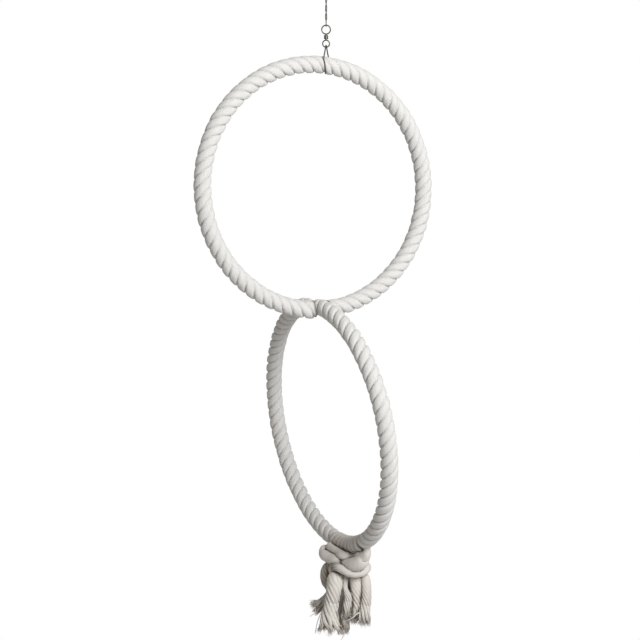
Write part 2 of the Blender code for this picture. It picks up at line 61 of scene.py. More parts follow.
SLING_SKEW = 0.0072          # half of how far apart along the rope the sling's legs leave it
SLING_LEAVES = math.radians(52)         # where round the rope they leave it
STRAND_RADIUS = 0.0041
WINDING_START = math.radians(150)
WINDING_TURN = math.radians(2765)
TURN_GAP = 0.0011
WINDING_LENGTH = (2 * STRAND_RADIUS + TURN_GAP) * WINDING_TURN / (2 * math.pi)
WINDING_PATH_RADIUS = 0.0062
WINDING_RISE = (WINDING_LENGTH / 2) ** 2 / (2 * LOWER_RING_RADIUS)
SOFT_GAP = 0.0003            # between soft pieces that lie against each other
MILLIMETRE = 0.001

# Routes of the tassel's strands: x, y, z and radius in millimetres, in the tassel's frame
ROUTE_1_BACK = [
    (-6.6, -1.2, -97.0, 9.0), (-1.3, -3.0, -83.7, 6.9), (3.1, -4.9, -70.2, 6.2),
    (5.6, -6.4, -56.2, 6.0), (7.1, -5.7, -45.8, 5.6), (7.5, -0.6, -35.3, 4.2),
    (8.2, 2.2, -25.9, 4.8), (5.7, 1.5, -16.6, 6.7), (-9.1, -5.2, -14.3, 4.5),
    (-14.4, -1.6, -12.0, 5.3), (-14.4, 9.4, -8.6, 4.8), (-15.1, 18.6, -6.0, 4.8),
    (-14.7, 27.2, -4.2, 5.0), (-12.0, 33.6, -3.2, 4.9), (-7.9, 35.9, -1.3, 3.9),
]
ROUTE_1_FRONT = [
    (1.5, -37.9, -5.7, 3.9), (-0.5, -38.4, -11.3, 5.0), (-1.7, -31.1, -15.8, 7.4),
    (-3.9, -27.7, -20.0, 8.6), (-6.9, -22.3, -22.6, 8.8), (-10.1, -15.7, -23.2, 8.0),
    (-12.1, -8.1, -22.4, 6.6), (-12.3, -0.7, -21.2, 5.0), (-8.0, 5.5, -23.4, 3.4),
    (-5.5, 5.7, -31.2, 3.4), (-3.5, 0.4, -39.9, 6.6), (-4.2, -0.7, -48.1, 7.0),
    (-5.3, 1.2, -58.8, 7.2), (-6.6, 3.8, -70.8, 6.8), (-9.2, 7.5, -82.5, 6.0),
    (-14.4, 10.3, -92.3, 5.6),
]
ROUTE_2 = [
    (-21.5, 8.1, -84.2, 5.8), (-18.6, 4.8, -72.6, 5.7), (-16.4, 1.1, -62.1, 4.7),
    (-17.6, 2.0, -51.6, 3.2), (-15.2, 3.9, -40.2, 4.2), (-12.8, 8.1, -32.0, 3.2),
    (-12.9, 10.8, -24.9, 3.8), (-18.5, 6.7, -18.2, 6.2), (-21.1, 16.5, -15.2, 6.6),
    (-23.6, 27.7, -11.3, 6.4), (-22.1, 35.5, -8.3, 4.8), (-16.7, 40.0, -6.1, 5.6),
    (-8.5, 45.6, -10.3, 4.4), (-3.6, 42.2, -18.4, 4.4), (-9.4, 38.6, -24.2, 4.6),
    (-17.9, 37.2, -27.0, 6.0), (-23.5, 35.6, -32.8, 6.4), (-25.8, 33.6, -42.6, 6.2),
    (-23.5, 31.1, -55.8, 5.4), (-34.8, 35.2, -66.7, 6.6), (-47.1, 39.1, -70.6, 8.6),
]
ROUTE_3 = [
    (-42.4, 17.4, -97.7, 14.4), (-39.6, 14.6, -83.7, 11.4), (-36.6, 11.7, -69.8, 8.6),
    (-32.2, 9.3, -57.5, 8.8), (-27.9, 8.0, -46.4, 9.6), (-23.8, 9.2, -37.8, 9.6),
    (-13.4, 17.3, -31.8, 4.0), (-5.8, 17.9, -26.7, 3.2), (3.0, 13.7, -26.8, 3.4),
    (9.9, 5.4, -28.9, 4.6), (11.4, -6.0, -31.8, 5.4), (2.3, -15.9, -33.4, 6.0),
    (-7.8, -16.0, -34.2, 5.4), (-15.7, -11.7, -31.1, 5.4), (-21.0, -4.7, -26.4, 4.9),
    (-23.8, 3.3, -24.0, 4.8), (-23.1, 15.3, -26.7, 4.6), (-15.5, 25.6, -35.1, 6.4),
    (-6.5, 21.0, -49.0, 8.0), (-7.7, 20.9, -65.8, 9.4), (-15.5, 21.7, -82.1, 8.2),
    (-22.4, 22.3, -105.9, 5.6),
]

# Loose yarns that stick out of each strand's tails: x, y and z in millimetres, in the tassel's frame
WISPS = [
    [
        [(-7.8, -3.2, -82.6), (-11.6, -3.5, -83.4), (-18.0, -1.4, -86.7), (-24.0, 3.8, -89.2)],
    ],
    [
        [(-34.9, 29.7, -64.4), (-40.4, 32.5, -71.1), (-45.7, 36.3, -75.6), (-52.7, 41.0, -79.6)],
    ],
    [
        [(-42.1, 15.5, -68.7), (-48.2, 18.6, -75.8), (-52.2, 24.2, -86.1), (-55.9, 27.3, -97.5)],
        [(-25.2, 19.0, -95.2), (-23.0, 18.0, -101.7), (-23.4, 19.5, -107.8), (-27.4, 22.7, -114.4)],
    ],
]

# A ring's arc in its body's frame, and a strand's route at even steps
Arc = namedtuple("Arc", "matrix centre radius up side")
Laid = namedtuple("Laid", "route radii normals tangents")

# The open ends of each strand, and the patches of painted shadow on it, with place and span as shares of its
# length
Tail = namedtuple("Tail", "length spread")
PaintedShadow = namedtuple("PaintedShadow", "place span strength")
TAILS = [
    (Tail(0.024, 0.25), Tail(0.022, 0.1)),
    (Tail(0.020, 0.2), Tail(0.021, 0.5)),
    (Tail(0.036, 0.25), Tail(0.030, 0.4)),
]
# Patches of painted shadow on stretches of the second and third strands that the knot shades
PAINTED_SHADOWS = [
    [],
    [PaintedShadow(0.78, 0.07, 0.55)],
    [PaintedShadow(0.628, 0.022, 0.8)],
]

X_AXIS = np.array((1.0, 0.0, 0.0))
Y_AXIS = np.array((0.0, 1.0, 0.0))
Z_AXIS = np.array((0.0, 0.0, 1.0))
chance = np.random.default_rng(seed=11)


def turned(angle, axis):
    return Matrix.Rotation(angle, 4, axis)


def moved(offset):
    return Matrix.Translation(Vector(offset))


def unit(vectors):
    return vectors / np.linalg.norm(vectors, axis=-1, keepdims=True)


def bell(offset, width):
    """1 where there is no offset, and less and less to both sides."""
    return np.exp(-(offset / width) ** 2)


def slow_waves(along, waves, shortest, longest):
    """A smooth irregular value along a rope, from about -1 to 1."""
    total = np.zeros_like(along)
    for _ in range(waves):
        length = chance.uniform(shortest, longest)
        total += np.sin(2 * math.pi * along / length + chance.uniform(0, 2 * math.pi))
    return total / math.sqrt(2 * waves)


# Frames of the bodies that carry new pieces
eye_right = turned(EYE_TURN, "Z").to_3x3() @ Vector(X_AXIS)
sling_matrix = moved((0, 0, SLING_PIVOT_Z)) @ turned(-HANG_TILT, eye_right)
hang_up = np.array((math.sin(HANG_TURN), 0, math.cos(HANG_TURN)))
hang_point = np.array((0, 0, HANG_POINT_Z))
upper_centre = hang_point - UPPER_RING_RADIUS * hang_up
join_down = np.array((math.sin(JOIN_TURN), 0, -math.cos(JOIN_TURN)))
join_side = np.array((math.cos(JOIN_TURN), 0, math.sin(JOIN_TURN)))
upper_arc = Arc(sling_matrix, upper_centre, UPPER_RING_RADIUS, join_down, join_side)

link_point = upper_centre + (UPPER_RING_RADIUS - LINK_OFFSET) * join_down
lower_turn = turned(LOWER_TURN, "Z") @ turned(-LOWER_LEAN, "Y") @ turned(LOWER_SWING, "X")
lower_matrix = sling_matrix @ moved(link_point) @ lower_turn
lower_centre = np.array((0, 0, -LOWER_RING_RADIUS))
tassel_down = np.array(turned(TASSEL_TURN, "X").to_3x3() @ -Vector(Z_AXIS))
tassel_side = np.array(turned(TASSEL_TURN, "X").to_3x3() @ Vector(Y_AXIS))
lower_arc = Arc(lower_matrix, lower_centre, LOWER_RING_RADIUS, tassel_down, tassel_side)

tassel_drop = moved((0, 0, WINDING_RISE / 2 - LOWER_RING_RADIUS))
tassel_matrix = lower_matrix @ moved(lower_centre) @ turned(TASSEL_TURN, "X") @ tassel_drop
hoop_centre = np.array((0, 0, LOWER_RING_RADIUS - WINDING_RISE / 2))    # in the tassel's frame


def in_whole_frame(matrix, points):
    """Points of a body's frame, in the frame of the whole object."""
    m = np.array(matrix)
    return points @ m[:3, :3].T + m[:3, 3]


def tube_faces(rows, columns, first=0):
    """Quads of a tube of rows of points, and its two end faces."""
    index = first + np.arange(rows * columns).reshape(rows, columns)
    right = np.roll(index, -1, axis=1)
    quads = np.stack([index[:-1], right[:-1], right[1:], index[1:]], axis=-1).reshape(-1, 4)
    return quads.tolist() + [index[0, ::-1].tolist(), index[-1].tolist()]


def new_piece(name, points, faces, values, material):
    """A smooth mesh object in the whole object's frame, with its named point values."""
    mesh = bpy.data.meshes.new(name)
    mesh.from_pydata(points.tolist(), [], faces)
    for key, data in values.items():
        kind, field = ("FLOAT_VECTOR", "vector") if data.ndim == 2 else ("FLOAT", "value")
        attribute = mesh.attributes.new(key, kind, "POINT")
        attribute.data.foreach_set(field, data.astype(np.float32).ravel())
    mesh.shade_smooth()
    mesh.materials.append(material)
    obj = bpy.data.objects.new(name, mesh)
    bpy.context.scene.collection.objects.link(obj)
    return obj


# Materials

def new_material(name, colour, metallic, roughness):
    """A plain material, with its nodes, links and shader."""
    made = bpy.data.materials.new(name)
    made.use_nodes = True
    shader = made.node_tree.nodes["Principled BSDF"]
    shader.inputs["Base Color"].default_value = (*colour, 1.0)
    shader.inputs["Metallic"].default_value = metallic
    shader.inputs["Roughness"].default_value = roughness
    return made, made.node_tree.nodes, made.node_tree.links, shader


def point_value(nodes, name):
    """Reads a named value of a mesh's points."""
    node = nodes.new("ShaderNodeAttribute")
    node.attribute_name = name
    return node


def tone_ramp(nodes, colour, darkest, low, high):
    """A ramp from a share of a colour, at the low value, to all of it at the high value."""
    ramp = nodes.new("ShaderNodeValToRGB")
    dark_end, full_end = ramp.color_ramp.elements
    dark_end.position = low
    dark_end.color = (*(darkest * c for c in colour), 1.0)
    full_end.position = high
    full_end.color = (*colour, 1.0)
    return ramp


def cotton(name, colour, shade):
    """Soft-spun cotton: yarn colour that varies, painted shade in creases and crevices, and fine fibres along
    the yarn.
    """
    made, nodes, links, shader = new_material(name, colour, metallic=0.0, roughness=0.93)
    shader.inputs["Specular IOR Level"].default_value = 0.2
    shader.inputs["Sheen Weight"].default_value = 0.18
    shader.inputs["Sheen Roughness"].default_value = 0.5

    fibre = nodes.new("ShaderNodeTexNoise")
    fibre.inputs["Scale"].default_value = 1.0
    fibre.inputs["Detail"].default_value = 6.0
    fibre.inputs["Roughness"].default_value = 0.65
    links.new(point_value(nodes, "grain").outputs["Vector"], fibre.inputs["Vector"])

    tone = tone_ramp(nodes, colour, darkest=0.86, low=0.30, high=0.62)
    links.new(fibre.outputs["Fac"], tone.inputs["Fac"])

    # Painted shade: the yarn colour is mixed towards the shade colour as far as the mesh's point value says
    darken = nodes.new("ShaderNodeMix")
    darken.data_type = "RGBA"
    darken.inputs["B"].default_value = (*shade, 1.0)
    links.new(point_value(nodes, "painted_shade").outputs["Fac"], darken.inputs["Factor"])
    links.new(tone.outputs["Color"], darken.inputs["A"])
    links.new(darken.outputs["Result"], shader.inputs["Base Color"])

    bump = nodes.new("ShaderNodeBump")
    bump.inputs["Strength"].default_value = 0.45
    bump.inputs["Distance"].default_value = 0.0005
    links.new(fibre.outputs["Fac"], bump.inputs["Height"])
    links.new(bump.outputs["Normal"], shader.inputs["Normal"])
    return made


def steel(name, colour, metallic, roughness):
    """Drawn wire: a little uneven in colour and gloss."""
    made, nodes, links, shader = new_material(name, colour, metallic, roughness)
    place = nodes.new("ShaderNodeTexCoord")
    noise = nodes.new("ShaderNodeTexNoise")
    noise.inputs["Scale"].default_value = 900.0
    noise.inputs["Detail"].default_value = 4.0
    links.new(place.outputs["Object"], noise.inputs["Vector"])

    tone = tone_ramp(nodes, colour, darkest=0.72, low=0.3, high=0.7)
    links.new(noise.outputs["Fac"], tone.inputs["Fac"])
    links.new(tone.outputs["Color"], shader.inputs["Base Color"])

    gloss = nodes.new("ShaderNodeMapRange")
    gloss.inputs["To Min"].default_value = roughness - 0.08
    gloss.inputs["To Max"].default_value = roughness + 0.12
    links.new(noise.outputs["Fac"], gloss.inputs["Value"])
    links.new(gloss.outputs["Result"], shader.inputs["Roughness"])
    return made


# The shade of each cotton is the colour that its painted shade mixes in
ROPE_COTTON = cotton("cotton_rope", colour=(0.797, 0.790, 0.782), shade=(0.13, 0.11, 0.085))
STRAND_COTTON = cotton("cotton_strand", colour=(0.88, 0.845, 0.80), shade=(0.19, 0.16, 0.125))
BRIGHT_STEEL = steel("bright_steel", (0.10, 0.095, 0.08), metallic=0.8, roughness=0.32)
DARK_WIRE = steel("dark_wire", (0.02, 0.02, 0.019), metallic=0.3, roughness=0.55)
HOOP_STEEL = steel("hoop_steel", (0.45, 0.45, 0.46), metallic=1.0, roughness=0.45)


# Ropes

LOBE = 2 * math.pi / STRANDS
LOBE_DEPTH = 0.0045         # half the strand's thickness, towards the rope's middle
LOBE_WIDTH = 0.0066         # half its width, round the rope
LOBE_CENTRE = 0.0055        # from the rope's middle
ROPE_COLUMNS = 96
ROW_SPACING = 0.00090
SWELL_HEIGHT = 0.00030      # of the strands' uneven thickness
SWELL_WAVES = 5
SWELL_LENGTHS = (0.025, 0.14)
GROOVE_STARTS = 0.70        # share of the way from a strand's crown to the groove where its painted shade starts
PLAIN_SHADE = 0.016
END_SHADE_REACH = 0.0022
ROPE_GRAIN_ALONG = 120      # scale of the fibres in the cotton, along the rope and round it
ROPE_GRAIN_ROUND = 9
ROPE_GRAIN_TWIST = 4
ROPE_GRAIN_STEP = 3.1       # from strand to strand

SLING_MARK_DEPTH = 0.0013
SLING_MARK_WIDTH = 0.0014
SLING_MARK_RUNS_ON = 1.3    # how far the mark stays full, and how fast it fades, past the sling's legs
SLING_MARK_FADE = 8
FLARE_HEIGHT = 0.0006       # the upper rope is a little thicker near its ends
FLARE_PLACE = 0.012
FLARE_REACH = 0.010

END_SLANT = 0.0022          # half of how far the lower rope's ends slant after the winding's last turns
BACK_END_FULL = math.radians(65)        # where round the rope each of its ends reaches furthest
FRONT_END_FULL = math.radians(-120)
END_ROUNDING = 0.12
END_ROUNDING_REACH = 0.0020
FLAT_DEPTH = 0.0045         # of the flat that lies behind the place where the rings meet
FLAT_REACH = 0.014
FLAT_OFFSET = 0.019


def lobe_radius(angle):
    """The rope's radius at an angle from a strand's crown, from an ellipse for each strand."""
    cosine, sine = np.cos(angle), np.sin(angle)
    square = (cosine / LOBE_DEPTH) ** 2 + (sine / LOBE_WIDTH) ** 2
    middle = LOBE_CENTRE * cosine / LOBE_DEPTH ** 2
    rest = (LOBE_CENTRE / LOBE_DEPTH) ** 2 - 1
    return (middle + np.sqrt(middle ** 2 - square * rest)) / square


def make_rope(name, arc, starts, ends, squeeze, groove_shade, end_shade):
    """A laid rope along an arc: starts and ends give where it ends at each angle of its section."""
    round_it = np.linspace(0, 2 * math.pi, ROPE_COLUMNS, endpoint=False)
    first, last = starts(round_it), ends(round_it)
    rows = int(np.max(last - first) / ROW_SPACING)
    share = np.linspace(0, 1, rows)[:, None]
    along = first + share * (last - first)

    whole = 2 * math.pi * arc.radius
    lays = round(STRANDS * whole / LAY_LENGTH) / STRANDS
    from_crown = round_it + 2 * math.pi * along / (whole / lays)
    strand = np.floor(from_crown / LOBE + 0.5)
    off = from_crown - strand * LOBE
    strand = strand.astype(int) % STRANDS
    crown = np.cos(STRANDS / 2 * off) ** 2
    swell = np.zeros_like(off)
    for number in range(STRANDS):
        swell = np.where(strand == number, slow_waves(along, SWELL_WAVES, *SWELL_LENGTHS), swell)
    section = squeeze(lobe_radius(off) + SWELL_HEIGHT * swell * crown, along, round_it)

    angle = along / arc.radius
    outward = np.cos(angle)[..., None] * arc.up + np.sin(angle)[..., None] * arc.side
    axis = np.cross(arc.up, arc.side)
    reach = (arc.radius + section * np.cos(round_it))[..., None]
    points = arc.centre + reach * outward + (section * np.sin(round_it))[..., None] * axis

    # Painted shade: darker in the grooves between the strands, and painted shadow at the rope's ends where
    # they meet other pieces
    to_groove = np.abs(off) / (LOBE / 2)
    groove = np.clip((to_groove - GROOVE_STARTS) / (1 - GROOVE_STARTS), 0, 1) ** 2
    to_end = np.minimum(along - first, last - along)
    painted_shade = PLAIN_SHADE + groove_shade * groove + end_shade * bell(to_end, END_SHADE_REACH)
    grain_angle = round_it + ROPE_GRAIN_TWIST * along
    grain = np.stack([
        ROPE_GRAIN_ALONG * along,
        ROPE_GRAIN_ROUND * np.cos(grain_angle),
        ROPE_GRAIN_ROUND * np.sin(grain_angle) + ROPE_GRAIN_STEP * strand,
    ], axis=-1)
    values = {"painted_shade": np.minimum(painted_shade, 1).ravel(), "grain": grain.reshape(-1, 3)}
    points = in_whole_frame(arc.matrix, points.reshape(-1, 3))
    return new_piece(name, points, tube_faces(rows, ROPE_COLUMNS), values, ROPE_COTTON)


def make_upper_rope():
    """The upper rope: its ends butt round the other ring's rope, and the sling presses into its top."""
    whole = 2 * math.pi * UPPER_RING_RADIUS
    sling_at = (math.pi - JOIN_TURN - HANG_TURN) * UPPER_RING_RADIUS

    def start(round_it):
        height = ROPE_RADIUS * np.cos(round_it) + LINK_OFFSET
        saddle = np.sqrt(np.maximum(0, (ROPE_RADIUS + SOFT_GAP) ** 2 - height ** 2))
        return np.maximum(END_GAP, saddle)

    def end(round_it):
        return whole - start(round_it)

    def squeeze(section, along, round_it):
        share = (round_it - SLING_LEAVES) / (2 * math.pi - 2 * SLING_LEAVES)
        offset = along - sling_at - SLING_SKEW * np.cos(math.pi * np.clip(share, 0, 1))
        past_leg = np.maximum(-share, share - 1)
        under_sling = np.clip(SLING_MARK_RUNS_ON - SLING_MARK_FADE * past_leg, 0, 1)
        mark = SLING_MARK_DEPTH * under_sling * bell(offset, SLING_MARK_WIDTH)
        from_end = np.minimum(along, whole - along)
        flare = FLARE_HEIGHT * bell(from_end - FLARE_PLACE, FLARE_REACH)
        return section - mark + flare

    rope = make_rope("upper_rope_laid", upper_arc, start, end, squeeze, groove_shade=0.15, end_shade=0.9)
    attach(rope, "upper_ring")
    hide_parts("upper_rope")


def make_lower_rope():
    """The lower rope: whole where the rings meet, open where the strand is wound on its hoop."""
    half_opening = WINDING_LENGTH / 2 + STRAND_RADIUS + SOFT_GAP
    whole = 2 * math.pi * LOWER_RING_RADIUS
    flat_at = (math.pi - TASSEL_TURN) * LOWER_RING_RADIUS - FLAT_OFFSET

    def start(round_it):
        return half_opening - END_SLANT * (1 + np.cos(round_it - BACK_END_FULL))

    def end(round_it):
        return whole - half_opening + END_SLANT * (1 + np.cos(round_it - FRONT_END_FULL))

    def squeeze(section, along, round_it):
        from_end = np.minimum(along - start(round_it), end(round_it) - along)
        rounding = 1 - END_ROUNDING * bell(from_end, END_ROUNDING_REACH)
        flattened = FLAT_DEPTH * bell(along - flat_at, FLAT_REACH) * np.clip(np.cos(round_it), 0, 1)
        return section * rounding - flattened

    rope = make_rope("lower_rope_laid", lower_arc, start, end, squeeze, groove_shade=0.20, end_shade=0.3)
    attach(rope, "lower_ring")
    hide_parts("lower_rope")


# Tassel

PLIES_ROUND = 9
INNER_PLIES = 4
YARNS_IN_STRAND = 30
YARNS_IN_PLY = 8
STRAND_TWIST = 105.0        # radians a metre, as are the other twists
PLY_TWIST = 160.0
YARN_TWIST = 180.0
BODY_COLUMNS = 100
YARN_COLUMNS = 7
HAIR_COLUMNS = 3
ROUTE_STEPS = 8             # between two points of a drawn route
WINDING_STEPS = 24          # in a turn
STRAND_STEP = 0.0011        # between rows of a strand
STRAND_NORMAL = unit(np.array((0.2, 1.0, 0.3)))
YARN_NORMAL = unit(np.array((0.3, 0.9, 0.31)))

# What stands close to a strand is looked for at some angles round it, and the strand gets painted shade
# there, like ambient occlusion
LOOKS_ROUND = 16
LOOK_START = 0.0006
LOOK_REACH = 0.020
LEAST_CLOSED = 0.24
CLOSED_SHADE = 1.9

# The closed part of a strand
BODY_OVERLAP = 0.010        # how far it runs on inside its open plies
LEAST_BODY = 0.05           # share of its thickness at which it stops there
LOOSENING_LENGTH = 0.036    # over which its plies come to show, towards an open end
LEAST_PLY_HEIGHT = 0.02     # plies and yarns stand out to both sides of a level between crown and groove
LOOSE_PLY_HEIGHT = 0.28
PLY_LEVEL = 0.9
YARN_HEIGHT = 0.00024
YARN_LEVEL = 0.6
BODY_GRAIN_ALONG = 110      # scale of the fibres in the cotton, along the strand and round it
BODY_GRAIN_ROUND = 7
# Painted shade of the closed part: in the grooves between yarns and plies, more towards the open ends, in
# cracks, and in the painted shadows
YARN_SHADE = 0.30
LOOSE_YARN_SHADE = 0.45
LOOSE_SHADE = 0.05
LOOSE_PLY_SHADE = 0.38
CRACK_SHADE = 0.7           # painted shade in cracks that open here and there between the plies
CRACK_SHARPNESS = 5
CRACK_AMOUNT = 1.5
CRACK_WAVES = 4
CRACK_LENGTHS = (0.01, 0.03)
PAINTED_SHADOW_SHADE = 0.6
PAINTED_SHADOW_GROOVE_SHADE = 0.9

# The wound part of a strand, pressed flat with a few dents along it, with painted shade all over it and more
# between its turns and in its dents
WOUND_MARGIN = 0.0004
WOUND_FADE = 0.003
WOUND_SQUARENESS = 2.6      # 2 for round turns, more for turns that are pressed flat
WOUND_WIDENING = 0.08
WOUND_SHADE = 0.11
WOUND_SIDE_SHADE = 0.7
WOUND_SIDE_SHARPNESS = 6
WOUND_OPENNESS = 0.6        # how much less the painted shade of cotton close by darkens it
DENTS_ROUND = 3
DENT_SWAY = 0.4
DENT_SWAY_TURN = 90
DENT_DEPTH = 0.0005
DENT_SHADE = 0.22

# Plies of a tail, with shares of the strand's radius or of the tail's length
PLY_RADII = (0.25, 0.32)
PLY_ENDS = (0.92, 1.0)
INNER_REACH = 0.5
TAIL_UNTWIST = 0.42
SPREAD_RANGE = (-0.2, 1.0)
PLY_SWAY = 0.45
PLY_SWAY_WAVES = 3
PLY_SWAY_LENGTHS = (0.03, 0.06)
PLY_WANDER = 0.0010
PLY_WANDER_WAVES = 3
PLY_WANDER_LENGTHS = (0.02, 0.05)

# Yarns of a ply, with shares of the ply's radius
YARN_RADII = (0.34, 0.42)
PLY_UNTWIST = 0.4
PLY_LOOSENING = 0.6
LOOSENING_RANGE = (-0.6, 1.0)
YARN_WANDER = 0.0006
YARN_WANDER_WAVES = 2
YARN_WANDER_LENGTHS = (0.012, 0.03)
MOST_CUT_OFF = 0.004
TIP_PARTS = 5               # the last of so many equal parts of a yarn tapers
TIP_TAPER = 0.45
# Painted shade of the tails: a little all over, more towards the tips, in the grooves between a yarn's ridges
# and on its tucked-in sides
TAIL_SHADE = 0.06
TIP_SHADE = 0.40
TIP_SHADE_REACH = 0.006
RIDGES_ROUND = 5
RIDGE_HEIGHT = 0.12
RIDGE_LEVEL = 0.6
RIDGE_SHADE = 0.2
TUCKED_SHADE = 0.85         # painted shade of the sides that face the middle of the ply or of the strand
TUCKED_START = 0.35
TUCKED_SLOPE = 0.9
YARN_GRAIN_ALONG = 110
YARN_GRAIN_ROUND = 3
YARN_GRAIN_STEP = 7.3       # from yarn to yarn
GRAIN_SPAN = 50

# Hairs at a yarn's tip, and loose yarns
HAIRS = 4
HAIR_POINTS = 5
HEADING_ROWS = 3            # last rows of a yarn that give its hairs their heading
HAIR_RADIUS = 0.00020
HAIR_TAPER = (1.2, 0.5)
HAIR_ROOT = 0.002           # how far back in the yarn a hair starts
HAIR_LENGTHS = (0.001, 0.005)
HAIR_ASIDE = 0.6
MOST_HAIR_BEND = 0.5
HAIR_SHADE = 0.3
WISP_RADIUS = 0.0007
WISP_STEPS = 6


def smooth_route(points, steps):
    """Points on a Catmull-Rom curve through the given ones."""
    padded = np.vstack([points[:1], points, points[-1:]])
    route = []
    for before, start, end, after in zip(padded, padded[1:], padded[2:], padded[3:]):
        for t in np.arange(steps) / steps:
            bend = 2 * before - 5 * start + 4 * end - after
            twist = 3 * (start - end) + after - before
            route.append(start + 0.5 * t * ((end - before) + t * (bend + t * twist)))
    route.append(points[-1])
    return np.array(route)


def lengths_along(points):
    """How far along a route each of its points lies."""
    steps = np.linalg.norm(np.diff(points, axis=0), axis=1)
    return np.concatenate([[0.0], np.cumsum(steps)])


def wander(along, waves, lengths):
    """A smooth irregular offset along a route."""
    return np.stack([slow_waves(along, waves, *lengths) for _ in range(3)], axis=-1)


def carried_normals(points, start_normal):
    """Tangents of a route, and normals that turn no more than the route does."""
    tangents = unit(np.gradient(points, axis=0))
    normal = start_normal
    normals = []
    for tangent in tangents:
        normal = unit(normal - np.dot(normal, tangent) * tangent)
        normals.append(normal)
    return tangents, np.array(normals)


def square_to(tangents, normals, angle):
    """Directions square to a route, at an angle round it from its normals."""
    binormals = np.cross(tangents, normals)
    return np.cos(angle)[..., None] * normals + np.sin(angle)[..., None] * binormals


class Bundle:
    """Tubes that are gathered into one mesh."""

    def __init__(self):
        self.points = []
        self.faces = []
        self.painted_shade = []
        self.grain = []
        self.count = 0

    def add(self, points, painted_shade, grain):
        rows, columns = points.shape[:2]
        self.faces += tube_faces(rows, columns, self.count)
        self.points.append(points.reshape(-1, 3))
        self.painted_shade.append(np.minimum(painted_shade, 1).ravel())
        self.grain.append(grain.reshape(-1, 3))
        self.count += rows * columns

    def piece(self, name):
        points = in_whole_frame(tassel_matrix, np.vstack(self.points))
        values = {"painted_shade": np.concatenate(self.painted_shade), "grain": np.vstack(self.grain)}
        return new_piece(name, points, self.faces, values, STRAND_COTTON)


def winding_points():
    """The wound part of the first strand, from its back end to its front end."""
    steps = round(WINDING_STEPS * WINDING_TURN / (2 * math.pi))
    share = np.linspace(1, 0, steps + 1)[:, None]
    along = (share - 0.5) * WINDING_LENGTH / LOWER_RING_RADIUS
    around = WINDING_START - WINDING_TURN * share
    inward = -np.sin(along) * Y_AXIS + np.cos(along) * Z_AXIS
    outward = np.cos(around) * inward + np.sin(around) * X_AXIS
    return hoop_centre - LOWER_RING_RADIUS * inward + WINDING_PATH_RADIUS * outward


def hoop_normals(route):
    """Outward from the hoop's wire, and how much of each point lies in the winding."""
    in_plane = route - hoop_centre
    in_plane[:, 0] = 0
    nearest = hoop_centre + LOWER_RING_RADIUS * unit(in_plane)
    away = route - nearest
    distance = np.linalg.norm(away, axis=1)
    wound = np.clip(1 - (distance - WINDING_PATH_RADIUS - WOUND_MARGIN) / WOUND_FADE, 0, 1)
    return unit(away), wound


def drawn(route):
    """Points and radii of a drawn route, in metres."""
    table = np.array(route) * MILLIMETRE
    return table[:, :3], table[:, 3]


def lay_strand(points, radii, hoop=None):
    """A strand's route at even steps, and how much of each step is wound."""
    fine = smooth_route(np.column_stack([points, radii]), ROUTE_STEPS)
    along = lengths_along(fine[:, :3])
    even = np.arange(0, along[-1], STRAND_STEP)
    route = np.stack([np.interp(even, along, fine[:, k]) for k in range(3)], axis=-1)
    radii = np.interp(even, along, fine[:, 3])
    tangents, normals = carried_normals(route, STRAND_NORMAL)
    wound = np.zeros(len(route))
    if hoop:
        outward, wound = hoop(route)
        normals = (1 - wound[:, None]) * normals + wound[:, None] * outward
        normals = unit(normals - np.sum(normals * tangents, axis=1)[:, None] * tangents)
    return Laid(route, radii, normals, tangents), wound


def plain_tubes(strands):
    """A search tree of the strands as plain round tubes, to find what stands close to what."""
    around = np.linspace(0, 2 * math.pi, LOOKS_ROUND, endpoint=False)
    points = []
    faces = []
    for laid, _ in strands:
        rings = square_to(laid.tangents[:, None], laid.normals[:, None], around)
        faces += tube_faces(len(laid.route), LOOKS_ROUND, len(points))
        points += (laid.route[:, None] + laid.radii[:, None, None] * rings).reshape(-1, 3).tolist()
    return BVHTree.FromPolygons(points, faces)


def painted_occlusion_shade(laid, cotton_near):
    """Painted shade, like ambient occlusion: how dark a strand is painted where other cotton stands close to
    it, at some angles round each of its points.
    """
    closed = np.zeros((len(laid.route), LOOKS_ROUND))
    for column in range(LOOKS_ROUND):
        outward = square_to(laid.tangents, laid.normals, np.array(2 * math.pi * column / LOOKS_ROUND))
        aside = np.cross(laid.tangents, outward)
        starts = laid.route + (laid.radii + LOOK_START)[:, None] * outward
        leans = (np.zeros_like(aside), laid.tangents, -laid.tangents, aside, -aside)
        for lean in leans:
            for row, (start, look) in enumerate(zip(starts, unit(outward + lean))):
                distance = cotton_near.ray_cast(Vector(start), Vector(look), LOOK_REACH)[3]
                if distance is not None:
                    closed[row, column] += (1 - distance / LOOK_REACH) / len(leans)
    return CLOSED_SHADE * np.maximum(closed - LEAST_CLOSED, 0)


def at_angle(grid, angle):
    """Values of a grid of angles round a strand, at the angles given for each row."""
    place = angle * LOOKS_ROUND / (2 * math.pi)
    low = np.floor(place).astype(int)
    part = place - low
    rows = np.arange(len(grid)).reshape((-1,) + (1,) * (angle.ndim - 1))
    return (1 - part) * grid[rows, low % LOOKS_ROUND] + part * grid[rows, (low + 1) % LOOKS_ROUND]


